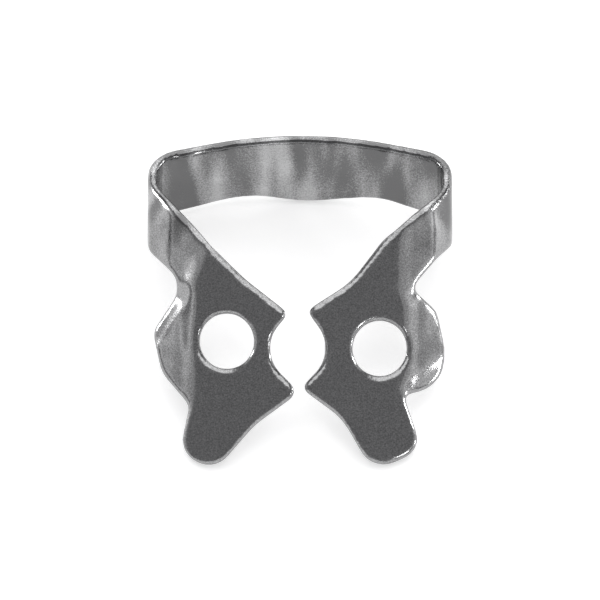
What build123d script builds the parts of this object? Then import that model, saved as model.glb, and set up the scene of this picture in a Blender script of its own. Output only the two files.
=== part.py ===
"""Rubber dam clamp: one strip of spring steel, stamped to outline and bent into a bow with two winged jaws.

The clamp is drawn in a front view: X to the right, Y up, Z towards the viewer. The jaws face the viewer and
the bow leans away. At the end it is turned to lie on the back edge of its bow and its two front wings.
"""
import math
import os
from dataclasses import dataclass

from build123d import *

# Sheet
SHEET = 0.8
EDGE_BREAK = 0.18
HOLE_DIAMETER = 4.15

# Bends: the jaw leans back from its points, turns into the wing along a slanting fold, then into the leg
JAW_LEAN = 12.0
WING_TURN = 21.0
FOLD_CLEAR = 0.2
FOLD_SETBACK = 0.8
LEG_RUN = 1.32
LEG_TURN = 1.26

# Bow
BOW_LEAN = 50.0
BOW_RISE = 1.59
BOW_WIDTH = 5.9
BOW_SIDE = 2.72
BOW_CORNER_RADIUS = 3.0
CROWN_RADIUS = 24.4
CROWN_SLOPE = 16.2

# Far edge of the crown: how much it stands out (or in) from the bow's width, from left to right
CROWN_WAVE = (-0.25, -0.26, 0.38, 0.02, -0.48)


@dataclass
class Jaw:
    """One jaw in the front view: corners as (out from the middle, up, rounding), the hole as (out, up)."""

    hole: tuple
    fold_slant: float
    shoulder: tuple
    waist: tuple
    upper_point: tuple
    notch: tuple
    lower_point: tuple
    flank: tuple
    front_wing_inner: tuple
    front_wing_outer: tuple
    crotch: tuple
    side_wing_lower: tuple
    side_wing_middle: tuple
    side_wing_upper: tuple
    leg_notch: tuple
    inner_edge_slope: float
    outer_edge_slope: float


LEFT = Jaw(
    hole=(5.66, -3.15),
    fold_slant=9.0,
    shoulder=(6.95, 4.25, 9.0),
    waist=(4.25, 1.62, 9.0),
    upper_point=(0.85, -1.03, 0.55),
    notch=(3.3, -3.8, 2.65),
    lower_point=(0.05, -7.06, 0.8),
    flank=(3.5, -9.58, 6.0),
    front_wing_inner=(6.55, -13.08, 1.9),
    front_wing_outer=(9.35, -11.73, 1.9),
    crotch=(8.56, -8.05, 0.75),
    side_wing_lower=(10.74, -5.65, 3.0),
    side_wing_middle=(11.15, -3.75, 5.0),
    side_wing_upper=(11.44, -2.4, 1.25),
    leg_notch=(9.08, 1.17, 1.7),
    inner_edge_slope=1.06,
    outer_edge_slope=1.0,
)
RIGHT = Jaw(
    hole=(6.16, -3.7),
    fold_slant=3.0,
    shoulder=(6.4, 4.6, 2.5),
    waist=(3.9, 1.35, 6.0),
    upper_point=(0.52, -0.8, 0.5),
    notch=(2.8, -3.95, 2.7),
    lower_point=(0.05, -6.72, 0.55),
    flank=(3.24, -9.05, 5.0),
    front_wing_inner=(5.62, -13.2, 2.05),
    front_wing_outer=(9.46, -11.44, 1.6),
    crotch=(8.04, -7.3, 0.35),
    side_wing_lower=(11.18, -6.64, 2.6),
    side_wing_middle=(11.22, -3.43, 4.0),
    side_wing_upper=(10.62, -0.77, 1.5),
    leg_notch=(8.74, 0.9, 0.5),
    inner_edge_slope=0.79,
    outer_edge_slope=1.18,
)

# Room beyond the outline for the surfaces that the outline trims
SPARE = 3.0

# Faces that meet at more than this many degrees meet in an edge; less is a seam inside a bend
EDGE_ANGLE = 30.0


def sine(angle):
    """Sine of an angle in degrees."""
    return math.sin(math.radians(angle))


def cosine(angle):
    """Cosine of an angle in degrees."""
    return math.cos(math.radians(angle))


def tangent(angle):
    """Tangent of an angle in degrees."""
    return math.tan(math.radians(angle))


def along(point, lean, distance):
    """The point of a section, as (out, height), a distance further along a straight that leans back."""
    return point[0] + distance * cosine(lean), point[1] - distance * sine(lean)


def bend(corner, setback, lean_from, lean_to):
    """A soft bend round a corner of a section: its curvature starts and ends at nothing."""
    shares = (1.0, 0.66, 0.32)
    before = [along(corner, lean_from, -setback * share) for share in shares]
    after = [along(corner, lean_to, setback * share) for share in reversed(shares)]
    return Bezier(*before, *after)


# Where the legs' bends start and end, out from the middle
LEG_OUT = max(LEFT.leg_notch[0], RIGHT.leg_notch[0]) + LEG_RUN
HALF_WIDTH = LEG_OUT + LEG_TURN


def edge_ends(jaw):
    """Where the jaw's inner and outer edges run over into the leg, as places up at the start of its bend."""
    inner = jaw.shoulder[1] + jaw.inner_edge_slope * (LEG_OUT - jaw.shoulder[0])
    outer = jaw.leg_notch[1] + jaw.outer_edge_slope * (LEG_OUT - jaw.leg_notch[0])
    return inner, outer


# The jaw's flat faces this way, and the bow runs this way towards its crown and this way across its width
FLAT_NORMAL = Vector(sine(JAW_LEAN), 0, cosine(JAW_LEAN))
TO_CROWN = Vector(0, cosine(BOW_LEAN), -sine(BOW_LEAN))
ACROSS = Vector(0, -sine(BOW_LEAN), -cosine(BOW_LEAN))


def fold_way(jaw):
    """The direction of the fold between the jaw's flat and its wing, in the flat."""
    across = sine(jaw.fold_slant)
    return Vector(-across, cosine(jaw.fold_slant), across * tangent(JAW_LEAN)).normalized()


def wing_rise(jaw):
    """How the wing's plane rises for each step out and for each step up."""
    normal = FLAT_NORMAL.rotate(Axis((0, 0, 0), fold_way(jaw)), WING_TURN)
    return -normal.X / normal.Z, -normal.Y / normal.Z


def wing_height(jaw, out, up):
    """Height of the wing's plane; it is 0 in the middle of the start of the leg's bend."""
    rise_out, rise_up = wing_rise(jaw)
    return rise_out * (out - LEG_OUT) + rise_up * (up - sum(edge_ends(jaw)) / 2)


def upright_height(jaw, up):
    """Height at which the leg's bend ends and its upright begins."""
    rise_out = wing_rise(jaw)[0]
    return wing_height(jaw, LEG_OUT, up) + LEG_TURN * (rise_out - math.hypot(1, rise_out))


# The bow starts where both legs are upright
BOW_UP = max(edge_ends(LEFT)[0], edge_ends(RIGHT)[0]) + BOW_RISE
BOW_START = Vector(0, BOW_UP, min(upright_height(LEFT, BOW_UP), upright_height(RIGHT, BOW_UP)))


def fold_start(jaw):
    """The place where the fold begins, in the notch between the jaw's two wings, as (out, up)."""
    out, up, rounding = jaw.crotch
    return out + FOLD_CLEAR, up - rounding / 2


def fold_corner(jaw):
    """A point of the line in which the planes of the jaw's flat and its wing meet."""
    across = fold_way(jaw).cross(FLAT_NORMAL)
    out, up = fold_start(jaw)
    out += FOLD_SETBACK * across.X
    up += FOLD_SETBACK * across.Y
    return Vector(out, up, wing_height(jaw, out, up))


def drawn(section, plane, way):
    """Surfaces made by drawing the edges of a section, given in a plane, along a way."""
    return [Face.extrude(plane.from_local_coords(edge), way) for edge in section]


def trimmed(surfaces, outline):
    """What of some surfaces lies inside an outline solid."""
    return [piece for surface in surfaces for piece in (surface & outline).faces()]


def jaw_skin(jaw):
    """Front faces of one jaw: its flat with the front wing, the fold and the side wing."""
    inner, outer = edge_ends(jaw)
    corners = [
        jaw.shoulder,
        jaw.waist,
        jaw.upper_point,
        jaw.notch,
        jaw.lower_point,
        jaw.flank,
        jaw.front_wing_inner,
        jaw.front_wing_outer,
        jaw.crotch,
        jaw.side_wing_lower,
        jaw.side_wing_middle,
        jaw.side_wing_upper,
        jaw.leg_notch,
    ]
    points = [(LEG_OUT, inner)] + [corner[:2] for corner in corners] + [(LEG_OUT, outer)]
    rim = FilletPolyline(*points, radius=[corner[2] for corner in corners])
    outline = extrude(make_face([rim, Line(rim @ 1, rim @ 0)]), 4 * SPARE, both=True)

    reach = 2 * HALF_WIDTH
    zone_box = Box(reach, reach, reach, align=(Align.MIN, Align.MIN, Align.CENTER))
    wing_zone = Pos(*fold_start(jaw)) * Rot(0, 0, jaw.fold_slant) * zone_box
    way = fold_way(jaw)
    plane = Plane(origin=fold_corner(jaw) - way * reach, x_dir=way.cross(FLAT_NORMAL), z_dir=-way)
    wing = along((0, 0), WING_TURN, FOLD_SETBACK)
    flat_section = [Line((-reach, 0), (reach, 0))]
    wing_section = [bend((0, 0), FOLD_SETBACK, 0, WING_TURN), Line(wing, along(wing, WING_TURN, reach))]
    flat_skin = trimmed(drawn(flat_section, plane, way * 2 * reach), outline - wing_zone)
    return flat_skin + trimmed(drawn(wing_section, plane, way * 2 * reach), outline & wing_zone)


def leg_skin(jaw):
    """Outer faces of one leg: the bend out of the wing and the upright that runs back to the bow."""
    inner, outer = edge_ends(jaw)
    rise_out, rise_up = wing_rise(jaw)
    near_start = (inner, wing_height(jaw, LEG_OUT, inner))
    far_start = (outer, wing_height(jaw, LEG_OUT, outer))
    near_end = (BOW_START.Y, BOW_START.Z)
    far_end = (BOW_START.Y + ACROSS.Y * BOW_WIDTH, BOW_START.Z + ACROSS.Z * BOW_WIDTH)
    near_way = (jaw.inner_edge_slope, rise_out + rise_up * jaw.inner_edge_slope)
    far_way = (-jaw.outer_edge_slope, -rise_out - rise_up * jaw.outer_edge_slope)
    near = Spline(near_start, near_end, tangents=[near_way, (TO_CROWN.Y, TO_CROWN.Z)])
    far = Spline(far_end, far_start, tangents=[(-TO_CROWN.Y, -TO_CROWN.Z), far_way])
    above = Polyline(far_start, (outer, SPARE), (inner, SPARE), near_start)
    outline_face = make_face([near, Line(near_end, far_end), far, above])
    side = Plane(origin=(0, 0, 0), x_dir=(0, 1, 0), z_dir=(1, 0, 0))
    outline = extrude(side.from_local_coords(outline_face), HALF_WIDTH + SPARE)

    lean = math.degrees(math.atan(-rise_out))
    corner = (HALF_WIDTH, LEG_TURN * rise_out)
    setback = LEG_TURN / cosine(lean)
    upright = along(corner, 90, setback)
    section = [bend(corner, setback, lean, 90), Line(upright, along(upright, 90, 2 * BOW_WIDTH))]
    start = outer - BOW_WIDTH
    way = Vector(0, 1, rise_up) * (4 * BOW_WIDTH)
    plane = Plane(origin=(0, start, wing_height(jaw, LEG_OUT, start)), x_dir=(1, 0, 0), z_dir=(0, -1, 0))
    return trimmed(drawn(section, plane, way), outline)


def bow_skin():
    """Outer faces of the bow, from the end of one leg over the crown to the other."""
    peak = BOW_SIDE + HALF_WIDTH * tangent(CROWN_SLOPE)
    arch = FilletPolyline(
        (-HALF_WIDTH, 0),
        (-HALF_WIDTH, BOW_SIDE),
        (0, peak),
        (HALF_WIDTH, BOW_SIDE),
        (HALF_WIDTH, 0),
        radius=[BOW_CORNER_RADIUS, CROWN_RADIUS, BOW_CORNER_RADIUS],
    )
    arch_plane = Plane(origin=BOW_START, x_dir=(1, 0, 0), z_dir=-ACROSS)
    strips = drawn(arch.edges(), arch_plane, ACROSS * (BOW_WIDTH + SPARE))

    half = HALF_WIDTH + SPARE
    wave_half = HALF_WIDTH - BOW_CORNER_RADIUS / 2
    wave_step = 2 * wave_half / (len(CROWN_WAVE) + 1)
    start = (-wave_half, BOW_WIDTH)
    end = (wave_half, BOW_WIDTH)
    wave = [(-wave_half + wave_step * (i + 1), BOW_WIDTH + out) for i, out in enumerate(CROWN_WAVE)]
    far_edge = Spline(start, *wave, end, tangents=[(1, 0), (1, 0)])
    rest = Polyline(end, (half, BOW_WIDTH), (half, 0), (-half, 0), (-half, BOW_WIDTH), start)
    crown_plane = Plane(origin=BOW_START, x_dir=(1, 0, 0), z_dir=TO_CROWN)
    outline_face = crown_plane.from_local_coords(make_face([far_edge, rest]))
    return trimmed(strips, extrude(outline_face, 2 * peak, dir=TO_CROWN, both=True))


def hole_tool(jaw):
    """A round cutter square to the jaw's flat."""
    out, up = jaw.hole
    corner = fold_corner(jaw)
    height = corner.Z + (corner.X - out) * tangent(JAW_LEAN)
    return Plane(origin=(out, up, height), z_dir=FLAT_NORMAL) * Cylinder(HOLE_DIAMETER / 2, 4 * SHEET)


def sharp_edges(solid):
    """The edges where two faces meet at an angle, which leaves out the seams inside the smooth bends."""
    faces_at = {}
    for face in solid.faces():
        for edge in face.edges():
            faces_at.setdefault(edge, []).append(face)
    found = []
    for edge, faces in faces_at.items():
        normals = [face.normal_at(edge @ 0.5) for face in faces]
        if len(normals) == 2 and normals[0].get_angle(normals[1]) > EDGE_ANGLE:
            found.append(edge)
    return found


def build():
    """The clamp in the front view: its skin made as thick as the sheet, with its holes and broken edges."""
    faces = bow_skin() + jaw_skin(RIGHT) + leg_skin(RIGHT)
    faces += [mirror(face, about=Plane.YZ) for face in jaw_skin(LEFT) + leg_skin(LEFT)]
    skin = Shell(Face.sew_faces(faces)[0])
    inside_or_outside = [Solid.thicken(skin, SHEET), Solid.thicken(skin, -SHEET)]
    clamp = Part() + min(inside_or_outside, key=lambda solid: solid.bounding_box().size.X)
    clamp = clamp - hole_tool(RIGHT) - mirror(hole_tool(LEFT), about=Plane.YZ)
    return chamfer(sharp_edges(clamp), EDGE_BREAK)


def lowest_point(shape):
    """The point of a shape that is nearest to a floor far below it."""
    floor = Pos(0, 0, -10 * HALF_WIDTH) * Rectangle(10 * HALF_WIDTH, 10 * HALF_WIDTH)
    return shape.distance_to_with_closest_points(floor)[1]


def settled(clamp):
    """The clamp lying on its front wings and the back edge of its bow, centred, its lowest point at Z 0."""
    size = 4 * HALF_WIDTH
    low = max(LEFT.crotch[1], RIGHT.crotch[1])
    left_zone = Pos(0, low) * Box(size, size, size, align=(Align.MAX, Align.MAX, Align.CENTER))
    right_zone = Pos(0, low) * Box(size, size, size, align=(Align.MIN, Align.MAX, Align.CENTER))
    bow_zone = Box(size, size, size, align=(Align.CENTER, Align.MIN, Align.CENTER))
    feet = [clamp & left_zone, clamp & right_zone, clamp & bow_zone]
    turned = Location()
    for _ in range(4):
        left, right, bow = [lowest_point(turned * foot) for foot in feet]
        ground = Plane(origin=left, x_dir=(1, 0, 0), z_dir=(right - left).cross(bow - left))
        turned = ground.location.inverse() * turned
    box = (turned * clamp).bounding_box()
    return Pos(-box.center().X, -box.center().Y, -box.min.Z) * turned * clamp


clamp = settled(build())
os.makedirs("parts", exist_ok=True)
export_step(clamp, "parts/clamp.step")
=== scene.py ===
"""The looks of a rubber dam clamp: tumbled spring steel on a pale floor under soft studio light."""
import math
from typing import NamedTuple

import bpy
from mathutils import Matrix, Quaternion, Vector


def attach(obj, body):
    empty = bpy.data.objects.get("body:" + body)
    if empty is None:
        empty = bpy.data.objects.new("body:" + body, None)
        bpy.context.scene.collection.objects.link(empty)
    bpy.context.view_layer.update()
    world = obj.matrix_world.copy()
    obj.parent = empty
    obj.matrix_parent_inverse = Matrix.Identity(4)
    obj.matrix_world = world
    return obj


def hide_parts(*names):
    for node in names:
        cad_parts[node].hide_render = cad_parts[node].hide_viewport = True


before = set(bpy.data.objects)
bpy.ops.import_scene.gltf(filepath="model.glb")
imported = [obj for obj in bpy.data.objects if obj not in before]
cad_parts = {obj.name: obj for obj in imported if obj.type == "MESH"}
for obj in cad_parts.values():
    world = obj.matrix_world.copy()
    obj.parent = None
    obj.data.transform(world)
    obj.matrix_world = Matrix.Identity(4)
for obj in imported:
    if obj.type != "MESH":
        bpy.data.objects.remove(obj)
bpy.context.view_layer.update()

bl_info = {
    "name": "Rubber dam clamp",
    "version": (1, 0, 0),
    "blender": (4, 5, 0),
    "location": "3D View > Sidebar > Clamp",
    "description": "Finishes a stamped spring-steel clamp and sets it on a studio floor",
    "category": "Object",
}

# The picture's middle, in the clamp's frame
PICTURE_MIDDLE = (0.0000926, -0.0011305, 0.0052253)

# Turn that brings the width of the bow's strip upright
STRIP_TURN = (math.radians(20.6), 0.0, 0.0)

# Where the steel goes over from the flat jaws to the bent legs and bow, along Y
BENT = (0.001, 0.005)

# The legs' outer sides, darkened by painted shade, and the bow's corners, as distances from the middle
FLANK = (0.0102, 0.0111)
CORNER = (0.0085, 0.0105)

# The bow's near edge, across its turned strip
NEAR_EDGE = (0.0096, 0.0098)

# Streaks across the strip, which bump the faces and paint reflections into the colour: the shift, scale and
# level of their noise, and how far painted shade takes the legs' outer sides below that
STREAK_SHIFT = (-6.2, 0.0, 0.0)
STREAK_SCALE = (575.0, 420.0, 45.0)
STREAK_LEVEL = 0.58
FLANK_PAINTED_SHADE = 0.13

# Noise over the steel, in turns to the metre: clouds of roughness, waves of its faces and torn corners
CLOUD_SCALE = 420.0
WAVE_SCALE = 330.0
TEAR_SCALE = 3000.0

# How far the clouds and the grain change the roughness
CLOUD_ROUGHNESS = 0.14
GRAIN_ROUGHNESS = 0.10

# Heights of the waves and of the grain, the grain's strength, and the tears' share of the waves' height
WAVE_HEIGHT = 0.00018
GRAIN_HEIGHT = 0.00004
GRAIN_STRENGTH = 0.06
TEAR_SHARE = 0.5

# How strongly the grain and the streaks' painted reflections and painted shade colour the steel, between its
# darkest and its lightest share
GRAIN_TINT = 1.9
PAINTED_REFLECTION_TINT = 3.2
DARKEST = 0.5
LIGHTEST = 1.5

# Light that the floor adds where it is looked at
FLOOR_GLOW = 0.4

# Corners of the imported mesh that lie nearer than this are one, and how far each pass of smoothing goes
MERGE_DISTANCE = 1e-6
SMOOTH_SHARE = 0.5


class Press(NamedTuple):
    """A stretch of sheet pressed back from the viewer, with lengths as seen in the picture from its middle.

    It starts at a distance out on one side, in a direction that rises by the slant in degrees. It has its full
    depth beyond the reach, between a low and a high, and fades over the reach around that.
    """

    side: int
    slant: float
    start: float
    reach: float
    low: float
    high: float
    depth: float


PRESSES = (
    # Side wings, folded back beside the forceps holes
    Press(-1, 0, 0.0079, 0.0011, -0.0082, 0.0003, 0.00042),
    Press(1, 0, 0.0077, 0.0012, -0.0075, -0.0002, 0.00045),
    # Legs, folded back from the jaws
    Press(-1, 28, 0.0076, 0.0012, 0.0002, 0.0080, 0.00036),
    Press(1, 0, 0.0073, 0.0012, 0.0006, 0.0080, 0.00036),
    # Legs, where they bend upright
    Press(-1, 0, 0.0096, 0.0014, 0.0030, 0.0085, 0.00055),
    Press(1, 0, 0.0100, 0.0011, 0.0030, 0.0085, 0.00045),
    # Rims of the side wings, turned down
    Press(-1, 34, 0.0069, 0.0006, -0.0040, 0.0003, 0.00021),
    Press(1, 43, 0.0063, 0.0005, -0.0032, 0.0004, 0.00014),
    Press(1, -54, 0.0098, 0.0005, -0.0072, -0.0040, 0.00012),
)


class Lamp(NamedTuple):
    """A soft lamp: where it hangs, in degrees and metres, its two sides in metres and its power in watts."""

    name: str
    azimuth: float
    elevation: float
    distance: float
    width: float
    height: float
    power: float


LAMPS = (
    Lamp("left_softbox", -90, 28, 0.5, 0.6, 0.14, 0.09),
    Lamp("left_strip", -90, 17, 0.5, 0.7, 0.06, 0.12),
    Lamp("right_softbox", 90, 28, 0.5, 0.6, 0.14, 0.09),
    Lamp("right_strip", 90, 17, 0.5, 0.7, 0.06, 0.12),
    Lamp("front_strip", 0, 11, 0.5, 0.8, 0.1, 0.30),
    Lamp("back_strip", 180, 18, 0.5, 0.8, 0.18, 0.75),
    Lamp("left_spark", -107, 6, 0.45, 0.06, 0.06, 0.6),
    Lamp("right_spark", 104, 9, 0.45, 0.05, 0.05, 0.45),
    Lamp("low_spark", 78, 4, 0.45, 0.04, 0.04, 0.2),
    Lamp("front_spark", 45, 25, 0.5, 0.06, 0.06, 0.25),
    Lamp("overhead", 180, 60, 1.0, 1.2, 1.6, 9.0),
)


class ClampSteel(bpy.types.PropertyGroup):
    """Sizes and colours of the steel."""

    colour: bpy.props.FloatVectorProperty(
        name="Steel colour",
        description="Colour of the steel",
        default=(0.30, 0.30, 0.303),
        subtype="COLOR",
        min=0.0,
        max=1.0,
    )
    roughness: bpy.props.FloatProperty(
        name="Roughness",
        description="How far the tumbled faces blur what they mirror",
        default=0.18,
        min=0.0,
        max=1.0,
        subtype="FACTOR",
    )
    mesh_step: bpy.props.FloatProperty(
        name="Mesh step",
        description="Spacing of the fine mesh that carries the rounded edges",
        default=0.000125,
        unit="LENGTH",
        precision=6,
    )
    edge_passes: bpy.props.IntProperty(
        name="Edge rounding",
        description="Passes of smoothing that wear the stamped edges round",
        default=46,
        min=0,
        max=200,
    )
    grain: bpy.props.FloatProperty(
        name="Grain size",
        description="Size of the grain that tumbling leaves on the steel",
        default=0.00011,
        unit="LENGTH",
        precision=6,
    )


class ClampStage(bpy.types.PropertyGroup):
    """The floor, the room and the camera."""

    floor_size: bpy.props.FloatProperty(
        name="Floor size",
        description="Width of the square floor",
        default=4.0,
        unit="LENGTH",
    )
    floor_colour: bpy.props.FloatVectorProperty(
        name="Floor colour",
        description="Colour of the pale floor",
        default=(0.86, 0.86, 0.86),
        subtype="COLOR",
        min=0.0,
        max=1.0,
    )
    room_colour: bpy.props.FloatVectorProperty(
        name="Room colour",
        description="Colour of the dim room above the floor",
        default=(0.31, 0.31, 0.315),
        subtype="COLOR",
        min=0.0,
        max=1.0,
    )
    camera_azimuth: bpy.props.FloatProperty(
        name="Camera azimuth",
        description="Turn of the camera round the clamp, from the front",
        default=math.radians(-0.996),
        subtype="ANGLE",
    )
    camera_elevation: bpy.props.FloatProperty(
        name="Camera elevation",
        description="Height of the camera above the floor, as an angle",
        default=math.radians(60.589),
        subtype="ANGLE",
    )
    camera_roll: bpy.props.FloatProperty(
        name="Camera roll",
        description="Turn of the camera about its own line of sight",
        default=math.radians(1.899),
        subtype="ANGLE",
    )
    camera_distance: bpy.props.FloatProperty(
        name="Camera distance",
        description="Distance from the clamp to the camera",
        default=2.0,
        unit="LENGTH",
    )
    picture_width: bpy.props.FloatProperty(
        name="Picture width",
        description="Width of what the square picture shows at the clamp",
        default=0.0458,
        unit="LENGTH",
        precision=4,
    )


class Value:
    """A node's output, with which sums are written as Python expressions."""

    def __init__(self, shader, socket):
        self.shader = shader
        self.socket = socket

    def math(self, operation, first, second=0.0):
        return self.shader.add("ShaderNodeMath", {"operation": operation}, {0: first, 1: second})

    def __add__(self, other):
        return self.math("ADD", self, other)

    def __radd__(self, other):
        return self.math("ADD", other, self)

    def __sub__(self, other):
        return self.math("SUBTRACT", self, other)

    def __mul__(self, other):
        return self.math("MULTIPLY", self, other)

    def __rmul__(self, other):
        return self.math("MULTIPLY", other, self)


class Shader:
    """The node tree of a material or of the world."""

    def __init__(self, owner):
        owner.use_nodes = True
        self.tree = owner.node_tree
        self.tree.nodes.clear()

    def add(self, kind, settings=None, inputs=None, output=0):
        """Add a node with its settings and the values or links of its sockets, and give one of its outputs."""
        node = self.tree.nodes.new(kind)
        for name, value in (settings or {}).items():
            setattr(node, name, value)
        for name, value in (inputs or {}).items():
            if isinstance(value, Value):
                self.tree.links.new(value.socket, node.inputs[name])
            else:
                node.inputs[name].default_value = value
        return Value(self, node.outputs[output]) if node.outputs else None


def noise(shader, place, scale, detail, roughness):
    return shader.add(
        "ShaderNodeTexNoise",
        inputs={"Vector": place, "Scale": scale, "Detail": detail, "Roughness": roughness},
    )


def rise(shader, value, limits):
    """Nought up to the first limit, one from the second, and even in between."""
    return shader.add(
        "ShaderNodeMapRange",
        {"clamp": True},
        {"Value": value, "From Min": limits[0], "From Max": limits[1]},
    )


def shade_of(colour, share):
    return (*[share * part for part in colour], 1.0)


def steel_material(steel):
    """Tumbled spring steel: a fine grain, uneven faces, and streaks across the strip where it was bent, which
    bump its faces and also paint reflections into its colour, with painted shade on the legs' outer sides.
    """
    material = bpy.data.materials.new("tumbled_steel")
    shader = Shader(material)
    place = shader.add("ShaderNodeTexCoord", output="Object")
    back = shader.add("ShaderNodeSeparateXYZ", inputs={"Vector": place}, output="Y")
    strip = shader.add("ShaderNodeMapping", inputs={"Vector": place, "Rotation": STRIP_TURN})
    aside = shader.add("ShaderNodeSeparateXYZ", inputs={"Vector": strip}, output="X")
    near = shader.add("ShaderNodeSeparateXYZ", inputs={"Vector": strip}, output="Z")
    out = aside.math("ABSOLUTE", aside)

    grain = noise(shader, place, 1.0 / steel.grain, 3.0, 0.6)
    clouds = noise(shader, place, CLOUD_SCALE, 2.0, 0.5)
    waves = noise(shader, place, WAVE_SCALE, 1.0, 0.4)
    torn = noise(shader, place, TEAR_SCALE, 2.0, 0.6)
    across = shader.add(
        "ShaderNodeMapping",
        inputs={
            "Vector": place,
            "Location": STREAK_SHIFT,
            "Rotation": STRIP_TURN,
            "Scale": STREAK_SCALE,
        },
    )
    streaks = noise(shader, across, 1.0, 1.0, 0.4)
    # Streaks on the bent steel, less painted shade on the legs' outer sides; they bump the faces and, in the
    # colour, make painted reflections
    streak = rise(shader, back, BENT) * (streaks - STREAK_LEVEL - FLANK_PAINTED_SHADE * rise(shader, out, FLANK))
    sheared = rise(shader, out, CORNER) * rise(shader, near, NEAR_EDGE) * (torn - 0.5)

    # Base colour: the steel's own grain, plus painted reflections and painted shade carried by the streaks
    grain_tint_and_painted_light = shader.add(
        "ShaderNodeMix",
        {"data_type": "RGBA"},
        {
            "Factor": 0.5 + GRAIN_TINT * (grain - 0.5) + PAINTED_REFLECTION_TINT * streak,
            "A": shade_of(steel.colour, DARKEST),
            "B": shade_of(steel.colour, LIGHTEST),
        },
        output=2,
    )
    roughness = steel.roughness + CLOUD_ROUGHNESS * (clouds - 0.5) + GRAIN_ROUGHNESS * (grain - 0.5)
    height = waves + streak + TEAR_SHARE * sheared
    uneven = shader.add(
        "ShaderNodeBump",
        inputs={"Strength": 1.0, "Distance": WAVE_HEIGHT, "Height": height},
    )
    bump = shader.add(
        "ShaderNodeBump",
        inputs={
            "Strength": GRAIN_STRENGTH,
            "Distance": GRAIN_HEIGHT,
            "Height": grain,
            "Normal": uneven,
        },
    )
    surface = shader.add(
        "ShaderNodeBsdfPrincipled",
        inputs={"Base Color": grain_tint_and_painted_light, "Metallic": 1.0, "Roughness": roughness, "Normal": bump},
    )
    shader.add("ShaderNodeOutputMaterial", inputs={"Surface": surface})
    return material


def pale_light(shader):
    """One where a camera, a mirror or a glass looks straight at the surface, and nought for other light."""
    ray = shader.tree.nodes.new("ShaderNodeLightPath")
    camera = Value(shader, ray.outputs["Is Camera Ray"])
    glossy = Value(shader, ray.outputs["Is Glossy Ray"])
    glass = Value(shader, ray.outputs["Is Transmission Ray"])
    return camera.math("MAXIMUM", camera, camera.math("MAXIMUM", glossy, glass))


def floor_material(stage):
    """A pale floor that still takes the clamp's shadow."""
    material = bpy.data.materials.new("pale_floor")
    shader = Shader(material)
    shade = shader.add("ShaderNodeBsdfDiffuse", inputs={"Color": (*stage.floor_colour, 1.0)})
    pale = FLOOR_GLOW * pale_light(shader)
    glow = shader.add("ShaderNodeEmission", inputs={"Color": pale, "Strength": 1.0})
    both = shader.add("ShaderNodeAddShader", inputs={0: shade, 1: glow})
    shader.add("ShaderNodeOutputMaterial", inputs={"Surface": both})
    return material


def room_world(stage):
    """The even, dim room that the steel mirrors between the lamps."""
    world = bpy.data.worlds.new("dim_room")
    shader = Shader(world)
    light = shader.add(
        "ShaderNodeBackground", inputs={"Color": (*stage.room_colour, 1.0), "Strength": 1.0}
    )
    shader.add("ShaderNodeOutputWorld", inputs={"Surface": light})
    return world


def direction(azimuth, elevation):
    """The way from the clamp to a place at an azimuth from the front and an elevation, in radians."""
    flat = math.cos(elevation)
    return Vector((flat * math.sin(azimuth), -flat * math.cos(azimuth), math.sin(elevation)))


def add_lamp(lamp):
    """Hang a lamp so that it looks at the clamp."""
    way = direction(math.radians(lamp.azimuth), math.radians(lamp.elevation))
    bpy.ops.object.light_add(
        type="AREA",
        location=way * lamp.distance,
        rotation=way.to_track_quat("Z", "Y").to_euler(),
    )
    light = bpy.context.object
    light.name = lamp.name
    light.data.shape = "RECTANGLE"
    light.data.size = lamp.width
    light.data.size_y = lamp.height
    light.data.energy = lamp.power


def camera_turn(stage):
    """How the camera is turned: its X, Y and Z are the picture's right, its up and the way to the viewer."""
    way = direction(stage.camera_azimuth, stage.camera_elevation)
    return way.to_track_quat("Z", "Y") @ Quaternion((0.0, 0.0, 1.0), stage.camera_roll)


def press_back(clamp, turn, press):
    """Press a stretch of the clamp's sheet back, away from a viewer with the given turn."""
    bpy.ops.object.mode_set(mode="EDIT")
    bpy.ops.mesh.select_mode(type="VERT")
    bpy.ops.mesh.select_all(action="DESELECT")
    bpy.ops.object.mode_set(mode="OBJECT")
    slant = math.radians(press.slant)
    outward = turn @ Vector((press.side * math.cos(slant), math.sin(slant), 0.0))
    up = turn @ Vector((0.0, 1.0, 0.0))
    middle = Vector(PICTURE_MIDDLE)
    for vertex in clamp.data.vertices:
        place = vertex.co - middle
        is_out = place.dot(outward) > press.start + press.reach
        vertex.select = is_out and press.low < place.dot(up) < press.high
    bpy.ops.object.mode_set(mode="EDIT")
    bpy.ops.transform.translate(
        value=turn @ Vector((0.0, 0.0, -press.depth)),
        use_proportional_edit=True,
        proportional_edit_falloff="LINEAR",
        proportional_size=press.reach,
    )
    bpy.ops.object.mode_set(mode="OBJECT")


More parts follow.
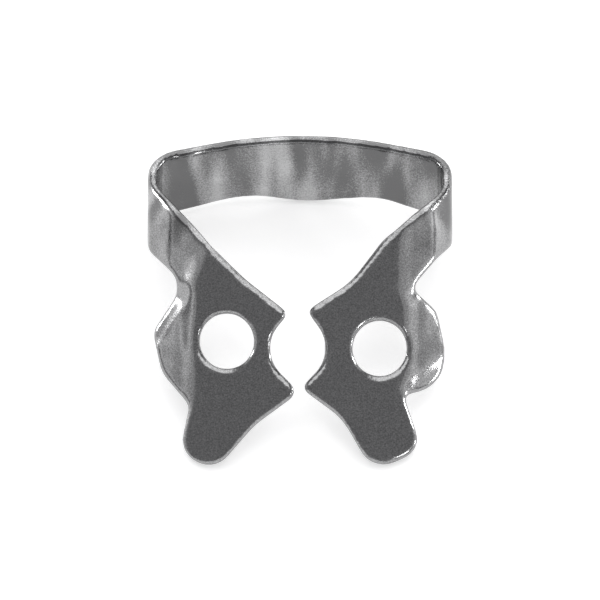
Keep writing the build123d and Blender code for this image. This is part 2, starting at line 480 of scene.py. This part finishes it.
class CLAMP_OT_steel(bpy.types.Operator):
    """Press the folds in, round the stamped edges and give the clamp its tumbled steel"""

    bl_idname = "clamp.steel"
    bl_label = "Finish the clamp"

    def execute(self, context):
        steel = context.scene.clamp_steel
        bpy.ops.object.select_all(action="DESELECT")
        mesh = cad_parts["clamp"].data.copy()
        mesh.materials.clear()
        clamp = bpy.data.objects.new("finished_clamp", mesh)
        context.collection.objects.link(clamp)
        context.view_layer.objects.active = clamp
        clamp.select_set(True)
        bpy.ops.object.mode_set(mode="EDIT")
        bpy.ops.mesh.select_all(action="SELECT")
        bpy.ops.mesh.remove_doubles(threshold=MERGE_DISTANCE)
        bpy.ops.object.mode_set(mode="OBJECT")
        remesh = clamp.modifiers.new("fine_mesh", "REMESH")
        remesh.mode = "VOXEL"
        remesh.voxel_size = steel.mesh_step
        bpy.ops.object.modifier_apply(modifier=remesh.name)
        turn = camera_turn(context.scene.clamp_stage)
        for press in PRESSES:
            press_back(clamp, turn, press)
        worn = clamp.modifiers.new("worn_edges", "SMOOTH")
        worn.factor = SMOOTH_SHARE
        worn.iterations = steel.edge_passes
        bpy.ops.object.modifier_apply(modifier=worn.name)
        bpy.ops.object.shade_smooth()
        clamp.data.materials.append(steel_material(steel))
        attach(clamp, "root")
        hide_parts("clamp")
        return {"FINISHED"}


class CLAMP_OT_stage(bpy.types.Operator):
    """Set up the floor, the soft lamps and the camera"""

    bl_idname = "clamp.stage"
    bl_label = "Set the stage"

    def execute(self, context):
        stage = context.scene.clamp_stage
        bpy.ops.object.select_all(action="DESELECT")
        bpy.ops.mesh.primitive_plane_add(size=stage.floor_size)
        floor = context.object
        floor.name = "floor"
        floor.data.materials.append(floor_material(stage))
        context.scene.world = room_world(stage)
        for lamp in LAMPS:
            add_lamp(lamp)

        way = direction(stage.camera_azimuth, stage.camera_elevation)
        bpy.ops.object.camera_add(
            location=Vector(PICTURE_MIDDLE) + way * stage.camera_distance,
            rotation=camera_turn(stage).to_euler(),
        )
        camera = context.object
        camera.data.sensor_fit = "HORIZONTAL"
        camera.data.lens = camera.data.sensor_width * stage.camera_distance / stage.picture_width
        camera.data.clip_start = 0.01
        context.scene.camera = camera
        context.scene.view_settings.view_transform = "Standard"
        return {"FINISHED"}


class CLAMP_PT_looks(bpy.types.Panel):
    """The clamp's steps and their settings"""

    bl_idname = "CLAMP_PT_looks"
    bl_label = "Rubber dam clamp"
    bl_space_type = "VIEW_3D"
    bl_region_type = "UI"
    bl_category = "Clamp"

    def draw(self, context):
        for operator, group in (("clamp.steel", "clamp_steel"), ("clamp.stage", "clamp_stage")):
            column = self.layout.column()
            column.operator(operator)
            settings = getattr(context.scene, group)
            for name in settings.__annotations__:
                column.prop(settings, name)


CLASSES = (ClampSteel, ClampStage, CLAMP_OT_steel, CLAMP_OT_stage, CLAMP_PT_looks)


def register():
    for item in CLASSES:
        bpy.utils.register_class(item)
    bpy.types.Scene.clamp_steel = bpy.props.PointerProperty(type=ClampSteel)
    bpy.types.Scene.clamp_stage = bpy.props.PointerProperty(type=ClampStage)


def unregister():
    del bpy.types.Scene.clamp_stage
    del bpy.types.Scene.clamp_steel
    for item in reversed(CLASSES):
        bpy.utils.unregister_class(item)


def main():
    register()
    bpy.ops.clamp.steel()
    bpy.ops.clamp.stage()


if __name__ == "__main__":
    main()
